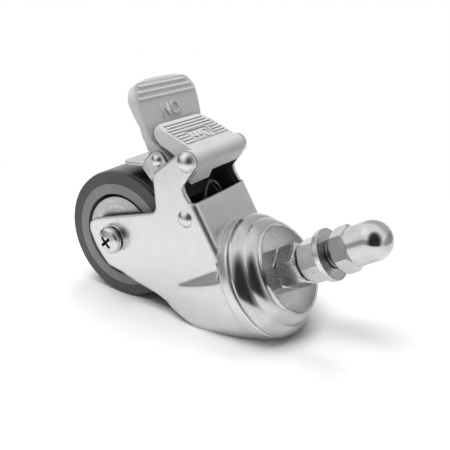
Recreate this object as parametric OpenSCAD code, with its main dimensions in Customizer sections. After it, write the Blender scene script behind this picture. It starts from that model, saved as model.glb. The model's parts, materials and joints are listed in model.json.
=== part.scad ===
// Castor wheel with a threaded stem and a twin-pedal brake.
// The origin is on the swivel axis, in the outer face of the washer that bears on the panel.
// +Z runs out along the stem, +X points to the trailing side, +Y to the axle screw's head.

/* [Wheel] */
// Outside diameter of the tyre
wheel_d = 64.5; // [63:0.5:67]
// Width across the wheel
wheel_w = 34.4; // [33:0.2:35]
// Thickness of the tyre over the rim, in radius
tyre_t = 6.3; // [5.5:0.05:7.5]
// Diameter of the open recess in the side of the rim
rim_opening_d = 42; // [41:0.1:44]
// Diameter of the axle screw's shank
axle_d = 8; // [7.6:0.1:8.2]

/* [Fork] */
// Outside width across the two legs
fork_w = 44; // [43.4:0.1:45]
// Thickness of the pressed sheet
sheet_t = 2; // [1.8:0.05:2.1]
// Distance from the swivel axis back to the axle
trail = 45.2; // [44.5:0.1:46]
// Distance from the cap's rim down to the axle
axle_drop = 71.2; // [70.8:0.1:72.5]
// Diameter of the drawn crown at its top
crown_d = 58.6; // [58:0.1:59.2]

/* [Swivel head] */
// Diameter of the cap's lip
cap_d = 58.8; // [58.2:0.1:59.6]
// Diameter of the cap's open recess
recess_d = 40; // [39.4:0.1:40.4]
// Depth of the recess below the rim
recess_depth = 11.5; // [11:0.1:11.8]
// Diameter of the balls in both races
ball_d = 4; // [3.8:0.05:4.05]

/* [Stem] */
// Diameter of the threaded stem
stem_d = 12; // [11.6:0.1:12.4]
// Width across the flats of the nuts
nut_flats = 18; // [17.6:0.1:19]
// Height of one hexagon nut
nut_h = 10; // [9.6:0.1:10.4]
// Diameter of the large washer
washer_d = 23.6; // [22.5:0.1:24]
// Thickness of the large washer
washer_t = 2.5; // [2.2:0.1:3]
// Gap between the washer and the dome nut, where the panel goes
panel_gap = 4.1; // [3:0.1:5]
// Length of the dome nut from its flat base to the tip
dome_nut_l = 24.1; // [23.5:0.1:25]

/* [Pedals] */
// Half the width of the release pedal's platform
off_half_w = 18; // [17:0.1:18.2]
// Half the width of the brake pedal at its tip
on_half_w = 22.4; // [21.5:0.1:23]
// Height of the tread ribs on both pedals
rib_h = 0.5; // [0.3:0.05:0.7]

/* [Hidden] */
$fn = 64;
eps = 0.01;
run_fit = 0.05;

// Heights along the stem, worked out down and up from the washer's outer face
nut_gap = 1.2;
upper_nut_z = -washer_t - nut_h;
middle_nut_z = upper_nut_z - nut_gap - nut_h;
lower_nut_z = middle_nut_z - nut_h;
disc_t = 1;
rim_z = lower_nut_z + recess_depth;
dome_hex_h = 7.5;
dome_d = nut_flats - 0.4;

// Cap section, with heights below its rim
recess_r = recess_d / 2;
cap_r = cap_d / 2;
cap_wall = 1.7;
lip_z = -10.6;
lip_t = 0.9;
race_r = recess_r + 4.5;
race_z = -10.8;
race_play = 0.05;
crease = [(recess_r + cap_r) / 2 + 0.7, -5.6];
upper_ball_n = 32;

// Crown and plate of the fork, with heights below the rim
crown_r = crown_d / 2;
crown_top_z = lip_z - lip_t - 0.7;
crown_shoulder = 1;
floor_top_z = -17;
floor_z = floor_top_z - sheet_t;
half_w = fork_w / 2;
inner_w = half_w - sheet_t;
fold_r = 3;
plate_end = trail - 1.1;
wedge_x = 13.4;
wedge_angle = 50;
crown_lean = 4;
kingpin_r = stem_d / 2 + 1;

// Lower race and the nut under it
lower_race_r = 11;
lower_ball_z = floor_z - ball_d / 2 - race_play;
lower_race_top = lower_ball_z - 1.25;
lower_race_t = 3;
lower_ball_n = 14;

// Wheel and axle
wheel_r = wheel_d / 2;
half_wheel = wheel_w / 2;
rim_d = wheel_d - 2 * tyre_t;
opening_r = rim_opening_d / 2;
sleeve_r = axle_d / 2 + 1;
bearing_r = 13;
bearing_mid_r = 9;
bearing_ball_r = 2.2;
bearing_in = 5.5;
bearing_out = 13.5;
dust_r = opening_r - 1.55;
screw_head_d = 13.2;
screw_head_h = 4.1;
axle_washer_t = 1.4;
axle_washer_r = 7.3;
spring_washer_t = 0.9;

// Pivots as [x, z], with z below the rim
axle_at = [trail, -axle_drop];
off_pin_at = [61.5, -11.9];
lever_pin_at = [39.6, -25.4];
on_pin_at = [68.3, -27.5];
pin_r = 2.5;
on_pin_r = 2;
lever_t = 1.6;
lever_w = inner_w - 0.1;
arm_w = lever_w - lever_t - 0.3;

// Points on a shallow bulge of height h between two points
function bulge(p, q, h, n = 8) = let (d = q - p, m = [-d[1], d[0]] / norm(d))
    [for (i = [0:n]) p + d * i / n + m * 4 * h * (i / n) * (1 - i / n)];

// Points on an arc about c
function arc(c, r, a0, a1, n = 10) =
    [for (i = [0:n]) let (a = a0 + (a1 - a0) * i / n) [c[0] + r * cos(a), c[1] + r * sin(a)]];

// Radius of the crown's outer wall at a height z below the rim
function crown_wall(z) = let (depth = crown_top_z - 2.3 - z)
    crown_r - 0.1 - 0.075 * depth - 0.0018 * depth * depth;

// Section of the raised ring round the crown, and of the hollow under it
function crown_ring_outer() = concat([[0, floor_top_z - 0.5], [0, crown_top_z]],
    arc([crown_r - crown_shoulder, crown_top_z - crown_shoulder], crown_shoulder, 90, 0, 6),
    [[crown_r, floor_top_z - 0.5]]);
function crown_ring_hollow() = [[race_r - 2.2, floor_z - 1], [race_r - 2.2, crown_top_z - sheet_t],
    [crown_r - sheet_t, crown_top_z - sheet_t], [crown_r - sheet_t, floor_z - 1]];

// Stands children that were drawn in the side view's x and z on the XZ plane, from y0 to y1
module across(y0, y1) {
    translate([0, y1, 0]) rotate([90, 0, 0]) linear_extrude(y1 - y0) children();
}

// The same on both sides of the middle plane
module both_sides(y0, y1) {
    across(y0, y1) children();
    across(-y1, -y0) children();
}

// A cylinder along Y between y0 and y1 at a pivot
module rod(at, r, y0, y1) {
    across(y0, y1) translate(at) circle(r);
}

// A turned body about Y at a pivot, drawn as [radius, y]
module turned(at) {
    translate([at[0], 0, at[1]]) rotate([-90, 0, 0]) rotate_extrude() children();
}

// The same, with a mirrored copy on the far side
module turned_pair(at) {
    turned(at) children();
    mirror([0, 1, 0]) turned(at) children();
}

// Rings of balls
module ball_ring(n, ring_r, z, r) {
    for (i = [0:n - 1]) rotate([0, 0, i * 360 / n]) translate([ring_r, 0, z]) sphere(r, $fn = 24);
}

// Hexagon prism with both ends chamfered at 30 degrees
module hexagon(flats, h, turn = 0) {
    corner = flats / sqrt(3);
    face_r = flats * 0.475;
    outer_r = corner + 0.5;
    drop = (outer_r - face_r) * tan(30);
    intersection() {
        rotate([0, 0, turn]) cylinder(r = corner, h = h, $fn = 6);
        rotate_extrude() polygon([[0, 0], [face_r, 0], [outer_r, drop],
            [outer_r, h - drop], [face_r, h], [0, h]]);
    }
}

module nut(z, turn) {
    translate([0, 0, z]) difference() {
        hexagon(nut_flats, nut_h, turn);
        translate([0, 0, -1]) cylinder(d = stem_d, h = nut_h + 2);
    }
}

// Stem with the collar that the cap's disc rests on, and the kingpin below it
module stem() {
    thread_top = panel_gap + dome_nut_l - dome_d / 2;
    collar_top = lower_nut_z - disc_t;
    collar_bottom = rim_z + floor_top_z + 0.6;
    pin_bottom = rim_z + lower_race_top - lower_race_t;
    color("silver") {
        translate([0, 0, collar_top]) cylinder(d = stem_d, h = thread_top - collar_top);
        translate([0, 0, collar_bottom]) cylinder(r = recess_r - 6, h = collar_top - collar_bottom);
        translate([0, 0, pin_bottom]) cylinder(r = kingpin_r, h = collar_bottom - pin_bottom);
        translate([0, 0, pin_bottom - 12]) cylinder(d = stem_d, h = 12);
    }
}

// Polished cap: a narrow rim round the recess, two bulged bands with a crease, and a lip
module swivel_cap() {
    color("gainsboro") translate([0, 0, rim_z]) rotate_extrude($fn = 128) difference() {
        polygon(concat(
            [[recess_r, -recess_depth], [recess_r, -0.3], [recess_r + 0.3, 0], [recess_r + 0.7, 0]],
            [[recess_r + 1.2, -1.1], [recess_r + 1.5, -1.4]],
            bulge([recess_r + 1.8, -1.5], crease, 0.45),
            bulge(crease + [0.1, -0.2], [cap_r, lip_z], 0.45),
            [[cap_r, lip_z - lip_t + 0.2], [cap_r - 0.2, lip_z - lip_t],
            [cap_r - cap_wall, lip_z - lip_t], [cap_r - cap_wall, race_z + 1.2],
            [recess_r + cap_wall, race_z + 1.2], [recess_r + cap_wall, -recess_depth]]));
        translate([race_r, race_z]) circle(ball_d / 2 + race_play, $fn = 48);
    }
}

// Satin disc at the bottom of the recess
module head_disc() {
    color("darkgray") translate([0, 0, lower_nut_z - disc_t]) difference() {
        cylinder(r = recess_r, h = disc_t, $fn = 128);
        translate([0, 0, -1]) cylinder(d = stem_d, h = disc_t + 2);
    }
}

module lower_nut() color("silver") nut(lower_nut_z, 3);

module middle_nut() color("silver") nut(middle_nut_z, 3);

module upper_nut() color("silver") nut(upper_nut_z, 34);

module seat_washer() {
    color("silver") translate([0, 0, -washer_t]) difference() {
        cylinder(d = washer_d, h = washer_t);
        translate([0, 0, -1]) cylinder(d = stem_d + 1, h = washer_t + 2);
    }
}

// Dome nut: hexagon base, round neck and a half-ball end over a blind hole
module dome_nut() {
    ball_z = dome_nut_l - dome_d / 2;
    color("gainsboro") translate([0, 0, panel_gap]) difference() {
        union() {
            hexagon(nut_flats, dome_hex_h, 40);
            translate([0, 0, dome_hex_h - 1]) cylinder(d = dome_d, h = ball_z - dome_hex_h + 1);
            translate([0, 0, ball_z]) sphere(d = dome_d);
        }
        translate([0, 0, -1]) cylinder(d = stem_d, h = ball_z + 1);
    }
}

module upper_balls() color("silver") ball_ring(upper_ball_n, race_r, rim_z + race_z, ball_d / 2);

module lower_balls() {
    color("silver") ball_ring(lower_ball_n, lower_race_r, rim_z + lower_ball_z, ball_d / 2);
}

// Cup on the kingpin that carries the lower ring of balls
module lower_race() {
    color("silver") translate([0, 0, rim_z]) rotate_extrude() difference() {
        translate([kingpin_r, lower_race_top - lower_race_t]) square([7.5, lower_race_t]);
        translate([lower_race_r, lower_ball_z]) circle(ball_d / 2 + race_play, $fn = 48);
    }
}

module kingpin_nut() {
    color("silver") translate([0, 0, rim_z + lower_race_top - lower_race_t - nut_h]) difference() {
        hexagon(nut_flats, nut_h);
        translate([0, 0, -1]) cylinder(d = stem_d, h = nut_h + 2);
    }
}

// Everything inside the pressed sheet's outer skin, or inside its inner skin when inset is the
// sheet's thickness: the drawn crown, the channel under the top plate, and the brake arms
module skin(inset) {
    w = half_w - inset;
    top = floor_top_z - inset;
    r = fold_r - inset;
    // Channel under the top plate, with rounded folds
    rotate([90, 0, 90]) linear_extrude(plate_end) {
        translate([-w, -150]) square([2 * w, top - r + 150]);
        translate([-w + r, -150]) square([2 * (w - r), top + 150]);
        for (s = [-1, 1]) translate([s * (w - r), top - r]) circle(r);
    }
    // Raised ring of the crown over the plate, hollow from below
    rotate_extrude($fn = 128) polygon(inset == 0 ? crown_ring_outer() : crown_ring_hollow());
    // Arms behind the plate, with no plate between them
    translate([plate_end - eps, -w, -150]) cube([60, 2 * w, 150]);
    // Crown of revolution that leans back a little, faced off on a slant beside the legs
    intersection() {
        translate([0, 0, floor_top_z]) rotate([0, -crown_lean, 0]) translate([0, 0, -floor_top_z])
            rotate_extrude($fn = 128) polygon(concat(
                [[0, floor_top_z + 4]],
                [for (i = [0:8]) let (z = floor_top_z + 4 - i * 6.5) [crown_wall(z) - inset, z]],
                [[0, floor_top_z - 48]]));
        translate([0, 0, top - 150]) linear_extrude(150) {
            start = wedge_x - inset * tan(wedge_angle / 2);
            y1 = w + (start + 40) * tan(wedge_angle);
            polygon([[start, w], [-40, y1], [-40, -y1], [start, -w]]);
        }
    }
}

// Side view of the fork: crown cut on a slope, leg to the axle, and arm up to the pedal's pin
module fork_outline() {
    a = axle_at;
    b = off_pin_at;
    offset(r = 1.2, $fn = 24) offset(delta = -1.2) offset(r = -1.5, $fn = 24) offset(delta = 1.5)
        polygon(concat(
            [[-34, -28], [12.4, -60.8], [21.6, -70.3], [28.7, -76.3]],
            [for (p = [[-10.5, -11.7], [-5, -12.8], [0.8, -13.3], [5.8, -13.1], [9.4, -12.4],
                [11.8, -10.8], [12.9, -7.8], [12.8, -5.8]]) a + p],
            arc([53.2, -41.5], 4.8, 200, 105, 8),
            [[62.2, -31.8], [64.2, -29.9], [b[0] + 4.7, b[1] - 3.4]],
            arc(b, 4.9, -20, 140, 12),
            [[52.9, -19.1], [50.2, -19.8], [plate_end + 1, -19.4], [plate_end, -17.6]],
            [[plate_end - 0.4, floor_top_z + 0.2], [crown_r + 1, floor_top_z + 0.2]],
            [[crown_r + 1, 0], [-34, 0]]));
}

module fork() {
    color("lightgray") translate([0, 0, rim_z]) difference() {
        intersection() {
            across(-45, 45) fork_outline();
            difference() {
                skin(0);
                skin(sheet_t);
            }
        }
        // Sunk floor of the crown, the ball track round it, and the kingpin's hole
        translate([0, 0, floor_top_z]) cylinder(r = race_r - 4.2, h = 20, $fn = 128);
        rotate_extrude($fn = 128) translate([race_r, race_z])
            circle(ball_d / 2 + race_play, $fn = 48);
        translate([0, 0, floor_z - 5]) cylinder(r = kingpin_r + run_fit, h = 20);
        rod(axle_at, axle_d / 2, -half_w - 1, half_w + 1);
        rod(off_pin_at, pin_r, -half_w - 1, half_w + 1);
        rod(lever_pin_at, pin_r, -half_w - 1, half_w + 1);
    }
}

// Pan-head screw with a cross recess
module axle_screw() {
    seat = half_w + axle_washer_t + spring_washer_t;
    r = screw_head_d / 2;
    h = screw_head_h;
    color("silver") translate([0, 0, rim_z]) difference() {
        union() {
            rod(axle_at, axle_d / 2, -half_w - 10.5, seat + eps);
            turned(axle_at) polygon(concat([[0, seat], [r - 0.3, seat], [r, seat + 0.3]],
                arc([r - 2.4, seat + h - 3.2], 2.4, 0, 60), [[2.6, seat + h], [0, seat + h]]));
        }
        translate([axle_at[0], seat + h - 2, axle_at[1]]) for (a = [12, 102])
            rotate([0, a, 0]) translate([-3.3, 0, -0.75]) cube([6.6, 5, 1.5]);
    }
}

// A flat washer under the screw's head and one under the nut
module axle_washers() {
    color("silver") translate([0, 0, rim_z]) turned_pair(axle_at)
        translate([axle_d / 2, half_w]) square([axle_washer_r - axle_d / 2, axle_washer_t]);
}

// Split spring washer, the dark gap under the screw's head
module axle_spring_washer() {
    y0 = half_w + axle_washer_t;
    color("dimgray") translate([0, 0, rim_z]) difference() {
        turned(axle_at) translate([axle_d / 2, y0]) square([1.4, spring_washer_t]);
        translate([axle_at[0], y0 - 1, axle_at[1] - 0.4]) cube([10, 3, 0.8]);
    }
}

module axle_nut() {
    h = 6.5;
    color("silver") translate([axle_at[0], -half_w - axle_washer_t, rim_z + axle_at[1]])
        rotate([90, 0, 0]) difference() {
            hexagon(13, h, 15);
            translate([0, 0, -1]) cylinder(d = axle_d, h = h + 2);
        }
}

// Tube that the legs clamp, with the bearings on it
module axle_sleeve() {
    color("silver") translate([0, 0, rim_z]) turned(axle_at)
        translate([axle_d / 2, -inner_w]) square([1, 2 * inner_w]);
}

module bearing_spacer() {
    color("silver") translate([0, 0, rim_z]) turned(axle_at)
        translate([sleeve_r, -bearing_in]) square([1.5, 2 * bearing_in]);
}

module hub_spacers() {
    color("silver") translate([0, 0, rim_z]) turned_pair(axle_at)
        translate([sleeve_r, bearing_out + 0.8])
            square([2.2, inner_w - bearing_out - 0.8]);
}

// Pressed thread guard: clamped at its centre, dished out to a flat ring with a turned-in edge
module dust_cap() {
    y = bearing_out;
    t = 0.8;
    face = half_wheel - 0.1;
    turned(axle_at) polygon([[sleeve_r, y], [8, y], [10, face - t], [dust_r - t, face - t],
        [dust_r - t, y + 0.1], [dust_r, y + 0.1], [dust_r, face - 0.4], [dust_r - 0.4, face],
        [9.6, face], [7.7, y + t], [sleeve_r, y + t]]);
}

module near_dust_cap() color("lightgray") translate([0, 0, rim_z]) dust_cap();

module far_dust_cap() color("lightgray") translate([0, 0, rim_z]) mirror([0, 1, 0]) dust_cap();

// One ring of a ball bearing, from r0 to r1
module bearing_ring(r0, r1) {
    turned_pair(axle_at) difference() {
        translate([r0, bearing_in]) square([r1 - r0, bearing_out - bearing_in]);
        translate([bearing_mid_r, (bearing_in + bearing_out) / 2])
            circle(bearing_ball_r + race_play, $fn = 48);
    }
}

module bearing_inner_rings() {
    color("silver") translate([0, 0, rim_z]) bearing_ring(sleeve_r, bearing_mid_r - 1.2);
}

module bearing_outer_rings() {
    color("silver") translate([0, 0, rim_z]) bearing_ring(bearing_mid_r + 1.2, bearing_r);
}

module bearing_balls() {
    color("silver") translate([axle_at[0], 0, rim_z + axle_at[1]]) for (s = [-1, 1])
        translate([0, s * (bearing_in + bearing_out) / 2, 0]) rotate([90, 0, 0])
            ball_ring(9, bearing_mid_r, 0, bearing_ball_r);
}

// Moulded wheel body: flat ring under the tyre, web, and hub bored for both bearings
module wheel_rim() {
    hub = bearing_out - 0.3;
    half_key = half_wheel - 7;
    color("darkgray") translate([0, 0, rim_z]) turned(axle_at) difference() {
        union() {
            translate([opening_r, -half_wheel]) square([rim_d / 2 - opening_r, wheel_w]);
            translate([rim_d / 2 - 1, -half_key]) square([2.6, 2 * half_key]);
            translate([bearing_r - 1, -4]) square([opening_r - bearing_r + 2, 8]);
            translate([bearing_r - 1, -hub]) square([4.2, 2 * hub]);
        }
        for (s = [-1, 1]) translate([0, s * (bearing_in + 6)]) translate([0, -6])
            square([bearing_r, 12]);
    }
}

// Tyre with a slightly crowned tread and rounded shoulders
module tyre() {
    side = half_wheel - 0.1;
    half_key = half_wheel - 7;
    r0 = rim_d / 2;
    color("dimgray") translate([0, 0, rim_z]) turned(axle_at) difference() {
        polygon(concat([[r0, -side], [wheel_r - 1, -side + 0.3]],
            arc([wheel_r - 1.2, -side + 0.9], 0.6, -90, -10, 4),
            bulge([wheel_r - 0.45, 1.2 - side], [wheel_r - 0.45, side - 1.2], -0.45, 14),
            arc([wheel_r - 1.2, side - 0.9], 0.6, 10, 90, 4),
            [[wheel_r - 1, side - 0.3], [r0, side]]));
        translate([r0 - 1, -half_key]) square([2.6, 2 * half_key]);
    }
}

// Side view of the lever's cheek, from its pin's eye to the brake pedal's pin
module lever_outline() {
    a = lever_pin_at;
    b = on_pin_at;
    offset(r = 1, $fn = 24) offset(delta = -1) polygon(concat(
        arc(a, 5, 100, 250, 10),
        [[58, -33.2], [69.6, -35.4], [71.4, -33.4]],
        arc(b, 4.5, -28, 90, 8)));
}

// Brake lever: two cheeks joined by a web that runs down into the shoe over the tyre
module brake_lever() {
    bend = [69.2, -35.2];
    tilt = atan2(15.6, 7.4);
    shoe_l = 17.6;
    shoe_w = half_wheel - 1.3;
    color("silver") translate([0, 0, rim_z]) {
        difference() {
            union() {
                both_sides(lever_w - lever_t, lever_w) lever_outline();
                across(-lever_w + eps, lever_w - eps) polygon([[47.5, -31.2], [58, -32.8],
                    [69.6, -35.2], [69.2, -36.9], [58, -34.4], [47.5, -32.8]]);
            }
            rod(lever_pin_at, pin_r + run_fit, -half_w, half_w);
            rod(on_pin_at, on_pin_r, -half_w, half_w);
        }
        // Shoe, rounded at its free corners
        translate([bend[0], 0, bend[1]]) rotate([0, tilt, 0])
            translate([0, 0, -lever_t]) linear_extrude(lever_t)
                offset(r = 5, $fn = 32) offset(delta = -5) union() {
                    translate([0, -shoe_w]) square([shoe_l, 2 * shoe_w]);
                }
    }
}

// Side view of the release pedal: barrel, platform and the skirt in front of the barrel
module off_outline() {
    b = off_pin_at;
    circle_r = 5;
    translate(b) circle(circle_r);
    polygon([b + [3.2, 3.84], b + [6.4, 1.75], b + [20.8, -9.5], b + [21.1, -10.4],
        b + [20.6, -11.6], b + [19.2, -12.2], b + [16.2, -12.4], b + [12, -11.2], b + [9.8, -9.5],
        b + [7.2, -7.6], b + [3.4, -5.4], b + [0, -5], b]);
}

module off_skirt(length) {
    b = off_pin_at;
    t = 2;
    lean = [-0.555, -0.832];
    inward = [0.832, -0.555];
    top = b - inward * 5;
    polygon([top, top + lean * length, top + lean * (length + 0.2) + inward * t,
        b + inward * -2.6, b + [-1, 2]]);
}

// Release pedal, with ribs across the platform and a sunk panel for the lettering
module off_pedal() {
    b = off_pin_at;
    crease_at = b + [6.4, 1.75];
    fall = atan2(11.25, 14.4);
    panel_w = 9.2;
    panel_l = 9.8;
    barrel_w = inner_w - 0.2;
    color("silver") translate([0, 0, rim_z]) difference() {
        union() {
            rod(b, 5, -barrel_w, barrel_w);
            intersection() {
                across(-off_half_w, off_half_w) off_outline();
                translate([0, 0, -60]) linear_extrude(80)
                    offset(r = 5, $fn = 32) offset(delta = -5)
                        translate([b[0] - 20, -off_half_w]) square([41.2, 2 * off_half_w]);
            }
            // Skirt, low over the near part and cut back over the far part
            across(-off_half_w, off_half_w) off_skirt(4.6);
            across(4.5, off_half_w) off_skirt(9);
            translate([crease_at[0], 0, crease_at[1]]) rotate([0, fall, 0])
                for (i = [0:7]) let (s = 1.5 + i * 2.08, w = off_half_w - (i > 5 ? 3.4 : 1.4))
                    translate([s, 0, 0]) {
                        if (s > panel_l) rib_across(-w, w);
                        else {
                            rib_across(-w, -panel_w);
                            rib_across(panel_w, w);
                        }
                    }
        }
        translate([crease_at[0], 0, crease_at[1]]) rotate([0, fall, 0])
            translate([1.1, -panel_w + 0.8, -0.35])
                cube([panel_l - 2, 2 * panel_w - 1.6, 3]);
        rod(b, pin_r + run_fit, -half_w, half_w);
    }
}

// One tread rib along Y
module rib_across(y0, y1) {
    translate([-0.5, y0, -0.6]) cube([1, y1 - y0, 0.6 + rib_h]);
}

// Side view of the brake pedal: level tip, sloping tread and the arms down to their pin
module on_top_line() {
    polygon([[63, -60], [63, -24.4], [66, -23.4], [69, -23.7], [72, -25], [75, -25.8], [77.4, -25.6],
        [84, -23.4], [93.6, -21.5], [96.6, -21.1], [102.4, -20.9], [103.8, -21.4], [108, -60]]);
}

module on_outline() {
    b = on_pin_at;
    intersection() {
        on_top_line();
        offset(r = 1, $fn = 24) offset(delta = -1) polygon(concat(
            arc(b, 4.3, 130, 250, 10),
            [[71, -32], [75, -30.9], [78.4, -29], [84.6, -26.8], [94.9, -26.1], [98.7, -25.3]],
            [[102.4, -24], [104.6, -22.4], [105.4, -20], [104, -10], [b[0] - 2, -10]]));
    }
}

// Plan view of the brake pedal
module on_plan(inset = 0) {
    tip = on_half_w;
    offset(delta = -inset) offset(r = 5, $fn = 32) offset(delta = -5) polygon([
        [55, -arm_w], [74.5, -arm_w], [80, -tip + 1.8], [90, -tip + 0.2], [97, -tip],
        [101.8, -tip + 3], [103.6, -10], [104, 0], [103.6, 10], [101.8, tip - 3],
        [97, tip], [90, tip - 0.2], [80, tip - 1.8], [74.5, arm_w], [55, arm_w]]);
}

// Brake pedal: a moulded tray open underneath, running into two arms
module on_pedal() {
    b = on_pin_at;
    wall = 2;
    arm_t = 5.5;
    tread_x = off_pin_at[0] + 21.6;
    color("silver") translate([0, 0, rim_z]) difference() {
        union() {
            intersection() {
                across(-40, 40) on_outline();
                translate([0, 0, -80]) linear_extrude(100) on_plan();
            }
            // Three ribs across the tip, each shorter than the last
            for (p = [[94.9, -21.7, 1.6], [97.7, -21.45, 2.5], [100.4, -21.3, 4.8]])
                rod([p[0], p[1]], rib_h + 0.35, -on_half_w + p[2], on_half_w - p[2]);
        }
        // Hollow under the tread, and the gap between the arms
        intersection() {
            across(-40, 40) translate([0, -wall - 0.2]) on_top_line();
            translate([0, 0, -80]) linear_extrude(100) on_plan(wall);
        }
        translate([50, -arm_w + arm_t, -60]) cube([tread_x - 50, 2 * (arm_w - arm_t), 60]);
        // Room for the release pedal, which lies between the arms
        across(-off_half_w - 0.5, off_half_w + 0.5) offset(r = 0.5, $fn = 16) off_outline();
        rod(b, on_pin_r + run_fit, -half_w, half_w);
    }
}

// A rivet: plain shank with a low dome at each end, the heads seated at y = seat
module rivet(at, r, head_r, head_h, seat) {
    rod(at, r, -seat - eps, seat + eps);
    ball = (head_r * head_r + head_h * head_h) / (2 * head_h);
    turned_pair(at) intersection() {
        translate([0, seat + head_h - ball]) circle(ball, $fn = 96);
        translate([0, seat]) square([head_r, head_h + 1]);
    }
}

module lever_pin() color("silver") translate([0, 0, rim_z]) rivet(lever_pin_at, pin_r, 4, 2.1, half_w);

module off_pedal_pin() {
    color("silver") translate([0, 0, rim_z]) rivet(off_pin_at, pin_r, 4.4, 2.4, half_w);
}

module on_pedal_pin() {
    color("silver") translate([0, 0, rim_z]) rivet(on_pin_at, on_pin_r, 2.9, 1.6, lever_w);
}

// Wire of the double torsion spring: tail, coil round the lever's pin, middle loop, and the same
// again mirrored
wire_r = 0.55;
coil_r = pin_r + 0.3 + wire_r;
coil_turns = 4;
coil_pitch = 2 * wire_r + 0.12;
coil_y = 8;
coil_end = 300;
function coil_point(i, n) = let (a = -35 + i / n * (coil_turns * 360 + coil_end - 265))
    [lever_pin_at[0] + coil_r * cos(a), coil_y + (1 - i / n) * coil_turns * coil_pitch,
    lever_pin_at[1] + coil_r * sin(a)];
coil_n = 96;
spring_half = concat(
    [[58.2, coil_y + coil_turns * coil_pitch + 0.2, -31.8]],
    [[49, coil_y + coil_turns * coil_pitch + 0.1, -30]],
    [for (i = [0:coil_n]) coil_point(i, coil_n)],
    [[44.6, coil_y - 1.2, -21.8], [47.6, coil_y - 3, -20.9], [49.6, coil_y - 5.2, -20.3]],
    [[50.4, 1.2, -20.1]]);
function flip(p) = [p[0], -p[1], p[2]];
spring_path = concat(spring_half, [for (i = [len(spring_half) - 1:-1:0]) flip(spring_half[i])]);

// Sweeps a round section of n sides along a path, as one closed solid
module sweep(path, r, n = 8) {
    last = len(path) - 1;
    function direction(i) = let (d = path[min(i + 1, last)] - path[max(i - 1, 0)]) d / norm(d);
    // A steady side vector for each ring, from the Y axis or from X where the path runs along Y
    function side(d) = let (up = abs(d[1]) > 0.8 ? [0.35, 0, 0.94] : [0, 1, 0], s = cross(d, up))
        s / norm(s);
    points = [for (i = [0:last]) let (d = direction(i), u = side(d), v = cross(d, u))
        for (k = [0:n - 1]) path[i] + r * (cos(k * 360 / n) * u + sin(k * 360 / n) * v)];
    faces = concat(
        [[for (k = [0:n - 1]) k]],
        [for (i = [0:last - 1]) for (k = [0:n - 1]) let (m = (k + 1) % n)
            [i * n + m, i * n + k, (i + 1) * n + k, (i + 1) * n + m]],
        [[for (k = [n - 1:-1:0]) last * n + k]]);
    polyhedron(points, faces);
}

module return_spring() color("lightgray") translate([0, 0, rim_z]) sweep(spring_path, wire_r);

stem();
swivel_cap();
head_disc();
lower_nut();
middle_nut();
upper_nut();
seat_washer();
dome_nut();
upper_balls();
lower_balls();
lower_race();
kingpin_nut();
fork();
axle_screw();
axle_washers();
axle_spring_washer();
axle_nut();
axle_sleeve();
bearing_spacer();
hub_spacers();
near_dust_cap();
far_dust_cap();
bearing_inner_rings();
bearing_balls();
bearing_outer_rings();
wheel_rim();
tyre();
brake_lever();
off_pedal();
on_pedal();
lever_pin();
off_pedal_pin();
on_pedal_pin();
return_spring();
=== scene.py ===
"""Dresses the castor wheel: materials, stem threads, pedal lettering, floor, light and camera."""
import json
import math

import bpy
from mathutils import Matrix, Vector


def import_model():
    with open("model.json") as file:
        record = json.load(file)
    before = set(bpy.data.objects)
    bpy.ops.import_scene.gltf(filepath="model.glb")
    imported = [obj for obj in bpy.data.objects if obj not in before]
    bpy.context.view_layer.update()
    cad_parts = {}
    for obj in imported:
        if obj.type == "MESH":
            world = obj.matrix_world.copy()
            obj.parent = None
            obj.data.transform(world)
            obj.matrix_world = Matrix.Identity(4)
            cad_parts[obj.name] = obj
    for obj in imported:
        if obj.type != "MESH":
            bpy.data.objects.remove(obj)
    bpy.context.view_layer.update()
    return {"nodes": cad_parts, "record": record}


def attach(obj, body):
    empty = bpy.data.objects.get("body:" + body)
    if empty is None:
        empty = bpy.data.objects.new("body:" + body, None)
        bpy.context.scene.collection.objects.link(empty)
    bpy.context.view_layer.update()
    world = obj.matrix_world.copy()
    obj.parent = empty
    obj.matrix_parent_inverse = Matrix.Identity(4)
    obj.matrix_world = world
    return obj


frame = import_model()

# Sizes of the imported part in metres, in its own frame: Z along the stem, Y along the axle
rim_z = -0.0222  # the cap's rim
stem_r = 0.006
bare_threads = {  # its two bare lengths: from seat washer to dome nut, and between two nuts
    "stem_thread": (0.0003, 0.0039),
    "stem_thread_between_nuts": (-0.0136, -0.0127),
}
recess_r = 0.02  # the open recess in the cap
axle = Vector((0.0452, 0, -0.0934))
wheel_r = 0.03225
highlight_line_y = 0.0148  # painted highlight lines near the tread's shoulders, from its middle
head_top_y, head_flat_r, head_slope = 0.0284, 0.0026, 0.4  # axle screw: flat top, then a cone
cross_r, cross_depth = 0.0036, 0.003  # the cross recess in its head
lever_shade_x, lever_unshaded_x = 0.060, 0.063  # where the lever comes out of the fork: painted shade inside it, bare steel outside
painted_shade_above_z = -0.045  # the fork's faces that are turned down get painted shade above this height
on_fall = math.radians(-11.2)  # fall of the brake pedal's top toward +X
off_fall = math.radians(38.0)  # fall of the release pedal's slope

# The castor lies on its cap's lip and its wheel, so the floor is tilted in this frame
lip_point = Vector((-0.0294, 0, -0.0337))


def floor_normal():
    """Unit normal of the plane that touches the cap's lip and the tyre."""
    reach = axle - lip_point
    slope = math.atan2(reach.z, reach.x) - math.asin(wheel_r / reach.length)
    return Vector((-math.sin(slope), 0, math.cos(slope)))


# The camera fitted to the photograph: its place, and the image's right and up in the frame
camera_at = Vector((0.0473, 0.2312, 0.1317))
image_right = Vector((-0.4239, -0.5297, 0.7347)).normalized()
image_up = Vector((0.9035, -0.3036, 0.3024)).normalized()
focal_px = 624.4
image_px = 450

# Studio axes: up from the floor, to the camera's right, and away from the camera
up = floor_normal()
away = up.cross(image_right).normalized()
right = away.cross(up).normalized()
centre = Vector((0.034, 0, -0.05))
centre -= up * (centre - lip_point).dot(up)


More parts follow.
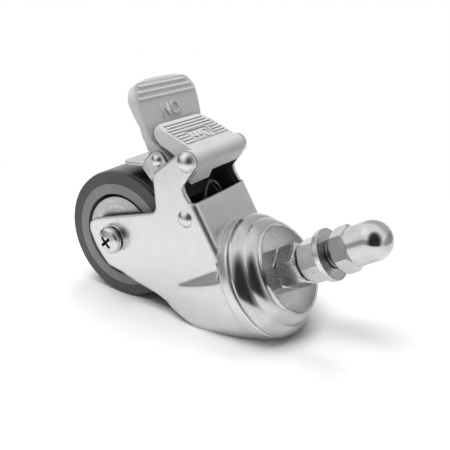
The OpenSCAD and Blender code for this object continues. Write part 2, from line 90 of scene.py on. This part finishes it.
def studio(r, a, u):
    """A point of the studio: metres right, away and up from the middle of the floor."""
    return centre + right * r + away * a + up * u


def matrix_facing(place, toward, top):
    """A matrix at place whose -Z points at toward, with +Y as near top as it can be."""
    back = (place - toward).normalized()
    side = top.cross(back).normalized()
    rise = back.cross(side)
    m = Matrix((side, rise, back)).transposed().to_4x4()
    m.translation = place
    return m


def link(obj):
    bpy.context.scene.collection.objects.link(obj)
    return obj


def new_mesh(name, points, faces, smooth=True):
    mesh = bpy.data.meshes.new(name)
    mesh.from_pydata([tuple(p) for p in points], [], faces)
    mesh.update()
    if smooth:
        mesh.shade_smooth()
    return link(bpy.data.objects.new(name, mesh))


# Materials. Noise scales are per metre, and lengths are in metres
stem_axis = (0.0, 0.0, 0.0)
axle_axis = tuple(axle)
steel_cloud_scale = 140.0
plastic_cloud_scale = 90.0
plastic_grain_scale = 5200.0
streak_rings = 900.0  # how fast the turning marks change along the axis
painted_shade_rough, painted_shade_metallic = 0.6, 0.3  # roughness and metalness where painted shade darkens the faces in an opening
cloud_range, grain_range = (0.35, 0.65), (0.3, 0.7)  # where most values of a noise lie
mix_sockets = {"FLOAT": (2, 3, 0), "RGBA": (6, 7, 2)}  # a Mix node's A, B and result


def grey_value(level):
    """A uniform grey for a colour socket."""
    return (level, level, level, 1.0)


WHITE = grey_value(1.0)


class Nodes:
    """A short way to build one material's node tree."""

    def __init__(self, name, material=None):
        self.material = material or bpy.data.materials.new(name)
        self.material.use_nodes = True
        self.tree = self.material.node_tree
        self.shader = self.tree.nodes["Principled BSDF"]
        self.output = self.tree.nodes["Material Output"]
        self.place = self.add("ShaderNodeTexCoord").outputs["Object"]

    @classmethod
    def of(cls, material):
        """The helper for a material that is made already."""
        return cls(material.name, material)

    def add(self, kind, inputs=None, **settings):
        node = self.tree.nodes.new(kind)
        for key, value in settings.items():
            setattr(node, key, value)
        for key, value in (inputs or {}).items():
            self.put(value, node.inputs[key])
        return node

    def put(self, value, socket):
        if isinstance(value, bpy.types.NodeSocket):
            self.tree.links.new(value, socket)
        else:
            socket.default_value = value

    def set(self, **values):
        for key, value in values.items():
            self.put(value, self.shader.inputs[key.replace("_", " ")])

    def noise(self, scale, detail, stretch=None, roughness=0.5, at=None):
        """Noise over the piece, or over another vector given as at."""
        vector = at or self.place
        if stretch is not None:
            vector = self.add("ShaderNodeMapping", {"Vector": vector, "Scale": stretch}).outputs[0]
        return self.add("ShaderNodeTexNoise", {"Vector": vector, "Scale": scale, "Detail": detail,
                                               "Roughness": roughness}).outputs["Fac"]

    def ramp(self, value, low, high, out_low, out_high):
        """Maps value from low..high to out_low..out_high, held at the ends."""
        return self.add("ShaderNodeMapRange", {"Value": value, "From Min": low, "From Max": high,
                                               "To Min": out_low, "To Max": out_high}).outputs[0]

    def math(self, operation, a, b=0.0):
        return self.add("ShaderNodeMath", {0: a, 1: b}, operation=operation).outputs[0]

    def grey(self, value):
        """A colour from a grey level."""
        return self.add("ShaderNodeCombineColor", {0: value, 1: value, 2: value}).outputs[0]

    def blend(self, factor, a, b, kind="FLOAT"):
        """a where factor is 0 and b where it is 1."""
        first, second, result = mix_sockets[kind]
        return self.add("ShaderNodeMix", {0: factor, first: a, second: b},
                        data_type=kind).outputs[result]

    def bump(self, height, strength, distance, normal=None):
        inputs = {"Height": height, "Strength": strength, "Distance": distance}
        if normal is not None:
            inputs["Normal"] = normal
        return self.add("ShaderNodeBump", inputs).outputs[0]

    def split(self, vector=None):
        """The three parts of a vector, by default of the place on the piece."""
        return self.add("ShaderNodeSeparateXYZ", {0: vector or self.place}).outputs

    def soft_edges(self, radius):
        """A normal that rounds the look of edges, or None where radius is 0."""
        if not radius:
            return None
        return self.add("ShaderNodeBevel", {"Radius": radius}, samples=6).outputs[0]

    def radius(self, about, axis):
        """Distance from the line through about along axis X, Y or Z."""
        split = self.split()
        others = [i for i in range(3) if i != "XYZ".index(axis)]
        squares = [self.math("POWER", self.math("SUBTRACT", split[i], about[i]), 2.0)
                   for i in others]
        return self.math("SQRT", self.math("ADD", squares[0], squares[1]))


def turned_streaks(n, about, axis, along):
    """Noise drawn out round an axis, as the marks of turning and polishing on a wheel are."""
    around = n.add("ShaderNodeVectorMath", {0: n.place, 1: tuple(about)}, operation="SUBTRACT")
    flat = tuple(0.0 if a == axis else 1.0 for a in "XYZ")
    across = n.add("ShaderNodeVectorMath", {0: around.outputs[0], 1: flat}, operation="MULTIPLY")
    unit = n.add("ShaderNodeVectorMath", {0: across.outputs[0]}, operation="NORMALIZE")
    parts = list(n.split(unit.outputs[0]))
    parts["XYZ".index(axis)] = n.math("MULTIPLY", along, streak_rings)
    spot = n.add("ShaderNodeCombineXYZ", {0: parts[0], 1: parts[1], 2: parts[2]})
    return n.noise(1.6, 5.0, roughness=0.65, at=spot.outputs[0])


def metal(name, level, spread, rough, rough_spread, grain_scale, grain, turned=None, edge=0.0):
    """Steel with cloudy colour, uneven polish and fine grain.

    turned adds lathe marks: a point on their axis, the axis and their pitch. edge is the radius
    to which the edges look worn.
    """
    n = Nodes(name)
    cloud = n.noise(steel_cloud_scale, 3.0)
    fine = n.noise(grain_scale, 4.0)
    uneven = n.ramp(cloud, *cloud_range, level - spread, level + spread)
    polish = n.ramp(fine, *grain_range, rough - rough_spread, rough + rough_spread)
    normal = n.bump(fine, grain, 0.00005, n.soft_edges(edge))
    if turned is not None:
        about, axis, pitch = turned
        along = n.math("SUBTRACT", n.split()["XYZ".index(axis)], n.radius(about, axis))
        streak = turned_streaks(n, about, axis, along)
        uneven = n.math("MULTIPLY", uneven, n.ramp(streak, *grain_range, 0.86, 1.06))
        polish = n.math("MULTIPLY", polish, n.ramp(streak, *grain_range, 1.5, 0.7))
        ring = n.math("SINE", n.math("MULTIPLY", along, 2 * math.pi / pitch))
        wander = n.math("MULTIPLY", ring, n.ramp(cloud, 0.3, 0.7, 0.2, 1.0))
        normal = n.bump(wander, 0.2, 0.000005, normal)
        normal = n.bump(streak, 0.35, 0.00003, normal)
    n.set(Metallic=1.0, Base_Color=n.grey(uneven), Roughness=polish, Normal=normal)
    return n.material


def moulded(name, level, spread, rough, edge=0.0):
    """Moulded plastic or rubber with a fine texture, faint clouding and rounded edges."""
    n = Nodes(name)
    cloud = n.noise(plastic_cloud_scale, 2.0)
    fine = n.noise(plastic_grain_scale, 2.0)
    n.set(Base_Color=n.grey(n.ramp(cloud, *cloud_range, level - spread, level + spread)),
          Roughness=n.ramp(fine, *grain_range, rough - 0.05, rough + 0.05),
          Normal=n.bump(fine, 0.2, 0.00004, n.soft_edges(edge)))
    return n.material


def paint_light_or_shade(n, where, level, rough=painted_shade_rough, metallic=painted_shade_metallic):
    """Paints light or shade over a steel where the mask says so, and returns its material."""
    for socket, kind, value in (("Base Color", "RGBA", grey_value(level)),
                                ("Roughness", "FLOAT", rough), ("Metallic", "FLOAT", metallic)):
        target = n.shader.inputs[socket]
        now = target.links[0].from_socket if target.is_linked else target.default_value
        n.put(n.blend(where, now, value, kind), target)
    return n.material


def fork_steel():
    """Bead-blasted sheet, with painted shade on its faces between the legs and under the top plate.
    """
    n = Nodes.of(metal("bead-blasted sheet", 0.67, 0.015, 0.30, 0.05, 4200.0, 0.35, edge=0.0018))
    facing = n.split(n.add("ShaderNodeTexCoord").outputs["Normal"])
    side = n.math("SIGN", n.split()[1])
    inward = n.math("MULTIPLY", n.math("MULTIPLY", facing[1], side), -1.0)
    walls = n.math("GREATER_THAN", inward, 0.4)
    under = n.math("LESS_THAN", facing[2], -0.4)
    high = n.math("GREATER_THAN", n.split()[2], painted_shade_above_z)
    # painted shade: near black on the walls facing in between the legs and on the faces turned down
    # under the top plate
    return paint_light_or_shade(n, n.math("MAXIMUM", walls, n.math("MULTIPLY", under, high)), 0.07)


def screw_steel():
    """Plated screw, with painted shade inside the cross recess of its head."""
    n = Nodes.of(metal("plated screw", 0.68, 0.03, 0.30, 0.04, 2200.0, 0.05, edge=0.0004))
    from_axle = n.radius(axle_axis, "Y")
    within = n.math("LESS_THAN", from_axle, cross_r)
    cone = n.math("MAXIMUM", n.math("SUBTRACT", from_axle, head_flat_r), 0.0)
    y = n.split()[1]
    surface = n.math("ADD", y, n.math("MULTIPLY", cone, head_slope))
    # painted shade: the faces of the cross recess, below the head's surface, go near black
    sunk = n.math("MULTIPLY", n.math("LESS_THAN", surface, head_top_y - 0.0002),
                  n.math("GREATER_THAN", y, head_top_y - cross_depth))
    return paint_light_or_shade(n, n.math("MULTIPLY", within, sunk), 0.03)


def cap_steel():
    """Polished cap with turning marks round it, and painted light on the wall inside its rim, which
    is lighter and duller than the rest.
    """
    n = Nodes.of(metal("polished cap", 0.57, 0.04, 0.15, 0.04, 2400.0, 0.05,
                       turned=(stem_axis, "Z", 0.00045)))
    # painted light: inside the recess the steel is made near white and dull so that the recess
    # looks lit
    inside = n.ramp(n.radius(stem_axis, "Z"), recess_r - 0.0002, recess_r + 0.0002, 1.0, 0.0)
    return paint_light_or_shade(n, inside, 0.94, rough=0.5, metallic=1.0)


def lever_steel():
    """Bright steel on the shoe over the tyre, with painted shade where the lever runs inside the
    fork.
    """
    n = Nodes.of(metal("lever steel", 0.46, 0.06, 0.16, 0.06, 700.0, 0.4, edge=0.0008))
    # painted shade: near black on the part of the lever inside the fork
    return paint_light_or_shade(n, n.ramp(n.split()[0], lever_shade_x, lever_unshaded_x, 1.0, 0.0), 0.035)


def tyre_rubber():
    """Rubber, matt on the side faces and darker and glossier on the tread."""
    n = Nodes("tyre rubber")
    cloud = n.noise(plastic_cloud_scale, 2.0)
    fine = n.noise(plastic_grain_scale, 2.0)
    from_axle = n.radius(axle_axis, "Y")
    tread = n.ramp(from_axle, wheel_r - 0.0012, wheel_r - 0.0006, 0.0, 1.0)
    side_level = n.ramp(cloud, *cloud_range, 0.058, 0.068)
    worn = n.noise(260.0, 5.0, stretch=(1.0, 0.25, 1.0))
    tread_level = n.ramp(worn, 0.35, 0.7, 0.030, 0.037)
    tread_rough = n.ramp(worn, 0.35, 0.7, 0.27, 0.33)
    n.set(Base_Color=n.grey(n.blend(tread, side_level, tread_level)),
          Roughness=n.blend(tread, 0.5, tread_rough), Specular_IOR_Level=0.4,
          Normal=n.bump(fine, 0.2, 0.00004))
    return n.material


LOOKS = {
    "polished_steel": metal("polished steel", 0.60, 0.04, 0.20, 0.05, 2600.0, 0.08, edge=0.0003),
    "rivet_steel": metal("rivet steel", 0.68, 0.03, 0.32, 0.04, 2200.0, 0.05),
    "screw_steel": screw_steel(),
    "spring_steel": metal("spring wire", 0.16, 0.03, 0.35, 0.06, 2200.0, 0.1),
    "dome_steel": metal("polished dome", 0.59, 0.05, 0.12, 0.05, 1500.0, 0.08, edge=0.0004),
    "cap_steel": cap_steel(),
    "satin_steel": metal("satin steel", 0.95, 0.03, 0.42, 0.05, 3000.0, 0.2,
                         turned=(stem_axis, "Z", 0.0005)),
    "nut_steel": metal("machined nut", 0.68, 0.05, 0.26, 0.06, 1800.0, 0.15, edge=0.0005),
    "thread_steel": metal("thread", 0.30, 0.05, 0.35, 0.08, 2200.0, 0.2),
    "fork_sheet": fork_steel(),
    "lever_steel": lever_steel(),
    "dust_cap_steel": metal("dust cap", 0.46, 0.04, 0.30, 0.06, 3200.0, 0.2,
                            turned=(axle_axis, "Y", 0.0006)),
    "rim_plastic": moulded("rim plastic", 0.190, 0.01, 0.5, edge=0.0003),
    "tyre_rubber": tyre_rubber(),
    # painted highlight: lighter rubber for the raised lines along the tread's shoulders
    "highlight_line_rubber": moulded("tyre highlight line", 0.13, 0.02, 0.4),
    "pedal_plastic": moulded("pedal plastic", 0.49, 0.012, 0.40, edge=0.0003),
}
NODE_LOOKS = {"swivel_cap": "cap_steel", "dome_nut": "dome_steel", "brake_lever": "lever_steel",
              "off_pedal_pin": "rivet_steel", "on_pedal_pin": "rivet_steel",
              "lever_pin": "rivet_steel", "axle_screw": "screw_steel",
              "axle_spring_washer": "spring_steel", "return_spring": "spring_steel"}


def dress_nodes():
    """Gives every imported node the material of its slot, or its own from NODE_LOOKS."""
    slots = {s["node"]: s["material_slot"] for s in frame["record"]["subparts"]}
    for name, obj in frame["nodes"].items():
        look = LOOKS[NODE_LOOKS.get(name, slots[name])]
        if not obj.material_slots:
            obj.data.materials.append(look)
        for s in obj.material_slots:
            s.material = look


# Pieces that the solids leave out
def add_piece(piece, look, body):
    """Gives a piece the material of its look and the body that it moves with."""
    piece.data.materials.append(LOOKS[look])
    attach(piece, body)


def threads(name, z0, z1, pitch=0.00175, height=0.0003, steps=48):
    """Helical thread ridges round the stem between two heights, with steps points a turn."""
    turns = (z1 - z0) / pitch
    count = int(turns * steps)
    # A ridge's outline: along the stem in pitches, and out from it in heights
    section = [(-0.42, -0.02), (-0.08, 1.0), (0.08, 1.0), (0.42, -0.02)]
    points, faces = [], []
    for i in range(count + 1):
        angle = 2 * math.pi * i / steps
        z = z0 + pitch * i / steps
        for along, out in section:
            r = stem_r + out * height
            points.append((r * math.cos(angle), r * math.sin(angle), z + along * pitch))
    k = len(section)
    for i in range(count):
        for j in range(k - 1):
            a = i * k + j
            faces.append((a, a + k, a + k + 1, a + 1))
        faces.append((i * k + k - 1, (i + 1) * k + k - 1, (i + 1) * k, i * k))
    faces.append(tuple(range(k)))
    faces.append(tuple(count * k + j for j in reversed(range(k))))
    add_piece(new_mesh(name, points, faces), "thread_steel", "head")


def ring_bead(name, y, radius, width, height, steps=160):
    """A thin raised line round the wheel, at y along the axle, in lighter rubber: a painted
    highlight.
    """
    # The line's outline: across it in widths, and out from the wheel in heights
    section = [(-0.5, -0.6), (-0.2, 1.0), (0.2, 1.0), (0.5, -0.6)]
    points = []
    for i in range(steps):
        a = 2 * math.pi * i / steps
        for across, out in section:
            r = radius + out * height
            points.append(axle + Vector((r * math.cos(a), y + across * width, r * math.sin(a))))
    k = len(section)
    faces = []
    for i in range(steps):
        for j in range(k):
            a, b = i * k, (i + 1) % steps * k
            faces.append((a + j, a + (j + 1) % k, b + (j + 1) % k, b + j))
    add_piece(new_mesh(name, points, faces), "highlight_line_rubber", "wheel")


def panel_frame(name, crease, fall, s0, s1, y0, y1, width, rise):
    """A raised trapezoid line round the panel on the release pedal's slope.

    It runs from s0 to s1 down the slope from the crease, and from half width y0 there to y1.
    """
    along = Vector((math.cos(fall), 0, -math.sin(fall)))
    out = Vector((math.sin(fall), 0, math.cos(fall)))

    def at(s, y, h):
        return crease + along * s + out * h + Vector((0, y, 0))

    outer = [(s0, -y0), (s0, y0), (s1, y1), (s1, -y1)]
    inner = [(s0 + width, -y0 + width), (s0 + width, y0 - width), (s1 - width, y1 - width),
             (s1 - width, -y1 + width)]
    rings = [[at(s, y, -rise) for s, y in outer], [at(s, y, rise) for s, y in outer],
             [at(s, y, rise) for s, y in inner], [at(s, y, -rise) for s, y in inner]]
    points = [p for ring in rings for p in ring]
    faces = []
    for r in range(4):
        for i in range(4):
            a, b = r * 4, (r + 1) % 4 * 4
            faces.append((a + i, a + (i + 1) % 4, b + (i + 1) % 4, b + i))
    add_piece(new_mesh(name, points, faces, smooth=False), "pedal_plastic", "release_pedal")


def lettering(name, text, place, tilt, body, depth, bold=0.0, stretch=1.0, size=0.0088):
    """Raised letters on a pedal, with their top toward -X, so that they read from behind."""
    curve = bpy.data.curves.new(name, "FONT")
    curve.body = text
    curve.size = size
    curve.align_x = "CENTER"
    curve.align_y = "CENTER"
    curve.extrude = depth
    curve.offset = bold
    curve.bevel_depth = 0.00008
    curve.bevel_resolution = 1
    font = link(bpy.data.objects.new(name + "_curve", curve))
    turn = Matrix.Rotation(tilt, 4, "Y")
    axes = Matrix(((0, -1, 0), (1, 0, 0), (0, 0, 1))).to_4x4()
    place_matrix = Matrix.Translation(place) @ turn @ axes @ Matrix.Diagonal((stretch, 1, 1, 1))
    mesh = bpy.data.meshes.new_from_object(font.evaluated_get(
        bpy.context.evaluated_depsgraph_get()))
    mesh.transform(place_matrix)
    piece = link(bpy.data.objects.new(name, mesh))
    bpy.data.objects.remove(font)
    bpy.data.curves.remove(curve)
    piece.data.materials.clear()
    add_piece(piece, "pedal_plastic", body)


# Studio
def white_rays(tree):
    """1 for the rays that see white surroundings: camera, glossy and transmission rays."""
    path = tree.nodes.new("ShaderNodeLightPath")
    seen = path.outputs["Is Camera Ray"]
    for kind in ("Is Glossy Ray", "Is Transmission Ray"):
        either = tree.nodes.new("ShaderNodeMath")
        either.operation = "MAXIMUM"
        tree.links.new(seen, either.inputs[0])
        tree.links.new(path.outputs[kind], either.inputs[1])
        seen = either.outputs[0]
    return seen


def floor_material(level, white_from, white_to):
    """Matte floor, seen from above only. The camera and gloss see it white farther out."""
    n = Nodes("floor")
    n.set(Base_Color=grey_value(level), Roughness=0.9, Specular_IOR_Level=0.1)
    reach = n.add("ShaderNodeVectorMath", {0: n.place, 1: tuple(centre)}, operation="DISTANCE")
    far = n.ramp(reach.outputs["Value"], white_from, white_to, 0.0, 1.0)
    white = n.add("ShaderNodeEmission", {"Color": WHITE, "Strength": 1.0})
    shown = n.add("ShaderNodeMixShader", {0: n.math("MULTIPLY", far, white_rays(n.tree)),
                                          1: n.shader.outputs[0], 2: white.outputs[0]})
    clear = n.add("ShaderNodeBsdfTransparent")
    back = n.add("ShaderNodeNewGeometry").outputs["Backfacing"]
    mix = n.add("ShaderNodeMixShader", {0: back, 1: shown.outputs[0], 2: clear.outputs[0]})
    n.put(mix.outputs[0], n.output.inputs["Surface"])
    return n.material


def square(name, corner):
    """A square mesh whose corners are corner(x, y), with x and y each -1 or 1."""
    points = [corner(x, y) for x, y in ((-1, -1), (1, -1), (1, 1), (-1, 1))]
    return new_mesh(name, points, [(0, 1, 2, 3)], smooth=False)


def floor(half=2.5):
    """The studio's floor, half metres to each side, with its face turned up."""
    plane = square("floor", lambda x, y: studio(x * half, y * half, 0))
    if plane.data.polygons[0].normal.dot(up) < 0:
        plane.data.flip_normals()
    plane.data.materials.append(floor_material(0.82, white_from=0.12, white_to=0.3))


def lamp(name, place, width, height, power):
    """A soft lamp over the castor that gloss doesn't see."""
    light = bpy.data.lights.new(name, "AREA")
    light.shape = "RECTANGLE"
    light.size = width
    light.size_y = height
    light.energy = power
    obj = link(bpy.data.objects.new(name, light))
    obj.matrix_world = matrix_facing(place, centre, up)
    obj.visible_glossy = False


def card(name, azimuth, elevation, width, height, reach, darkness=1.0, glow=0.0):
    """A soft-edged card that only gloss sees: dark over the white surroundings, or a softbox.

    Its middle is at azimuth (from straight away, to the right) and elevation, both in degrees as
    seen from the castor, as are its width and height. reach is its distance in metres.
    """
    az, el = math.radians(azimuth), math.radians(elevation)
    middle = studio(0, 0, 0.04)  # about the castor's middle
    place = middle + reach * (math.cos(el) * (right * math.sin(az) + away * math.cos(az))
                              + up * math.sin(el))
    m = matrix_facing(place, middle, up)
    half = [reach * math.tan(math.radians(angle / 2)) for angle in (width, height)]
    obj = square(name, lambda x, y: (x, y, 0))
    obj.matrix_world = m @ Matrix.Diagonal((half[0], half[1], 1, 1))
    n = Nodes(name)
    squares = [n.math("POWER", n.math("ABSOLUTE", n.split()[i]), 2.0) for i in range(2)]
    cover = n.ramp(n.math("ADD", squares[0], squares[1]), 0.2, 1.0, darkness, 0.0)
    clear = n.add("ShaderNodeBsdfTransparent")
    n.set(Base_Color=grey_value(0.02), Roughness=0.9, Specular_IOR_Level=0.0,
          Emission_Color=WHITE, Emission_Strength=glow)
    mix = n.add("ShaderNodeMixShader", {0: cover, 1: clear.outputs[0], 2: n.shader.outputs[0]})
    n.put(mix.outputs[0], n.output.inputs["Surface"])
    obj.data.materials.append(n.material)
    for ray in ("camera", "diffuse", "shadow", "transmission"):
        setattr(obj, "visible_" + ray, False)


def world(fill):
    """Even fill light, and white surroundings for the camera and for gloss."""
    w = bpy.data.worlds.new("studio")
    bpy.context.scene.world = w
    w.use_nodes = True
    tree = w.node_tree
    background = tree.nodes["Background"]
    background.inputs["Color"].default_value = WHITE
    level = tree.nodes.new("ShaderNodeMapRange")
    tree.links.new(white_rays(tree), level.inputs["Value"])
    level.inputs["To Min"].default_value = fill
    level.inputs["To Max"].default_value = 1.0
    tree.links.new(level.outputs[0], background.inputs["Strength"])


def camera():
    """The camera that sees the castor as the photograph does."""
    data = bpy.data.cameras.new("camera")
    data.sensor_width = 36.0
    data.lens = focal_px / image_px * data.sensor_width
    data.clip_start = 0.01
    data.clip_end = 20.0
    obj = link(bpy.data.objects.new("camera", data))
    back = image_right.cross(image_up).normalized()
    m = Matrix((image_right, back.cross(image_right), back)).transposed().to_4x4()
    m.translation = camera_at
    obj.matrix_world = m
    bpy.context.scene.camera = obj


def main():
    dress_nodes()
    for name, (low, high) in bare_threads.items():
        threads(name, low, high)
    lettering("on_letters", "ON", Vector((0.0889, 0.0010, rim_z - 0.02243)), on_fall,
              "brake_pedal", depth=0.0006, bold=0.0001)
    lettering("off_letters", "OFF", Vector((0.0717, 0.0, rim_z - 0.01335)), off_fall,
              "release_pedal", depth=0.0004, stretch=0.84)
    panel_frame("off_panel_frame", Vector((0.0679, 0, rim_z - 0.01015)), off_fall,
                s0=0.0008, s1=0.0092, y0=0.0086, y1=0.0078, width=0.0004, rise=0.0003)
    # painted highlight lines along both shoulders of the tread
    for side, y in (("near", highlight_line_y), ("far", -highlight_line_y)):
        ring_bead("tyre_highlight_line_" + side, y, wheel_r - 0.0003, width=0.0004, height=0.0001)
    floor()
    camera()
    world(0.30)
    lamp("key", studio(-0.38, -0.24, 1.12), width=0.7, height=0.7, power=12.5)
    lamp("top", studio(0.2, 0.5, 1.2), width=0.9, height=0.8, power=9.5)
    card("card_camera", 176, 20, 84, 112, reach=0.45, darkness=0.98)
    card("card_front", -138, 7, 84, 40, reach=0.5, darkness=0.55)
    card("card_left", -68, 2, 100, 50, reach=0.42, darkness=0.92)
    card("card_right", 97, 4, 90, 50, reach=0.42, darkness=0.60)
    card("card_back", 45, 34, 112, 70, reach=0.8, darkness=0.38)
    card("card_softbox", -88, 50, 60, 40, reach=0.6, glow=1.2)
    bpy.context.scene.view_settings.view_transform = "Standard"


main()
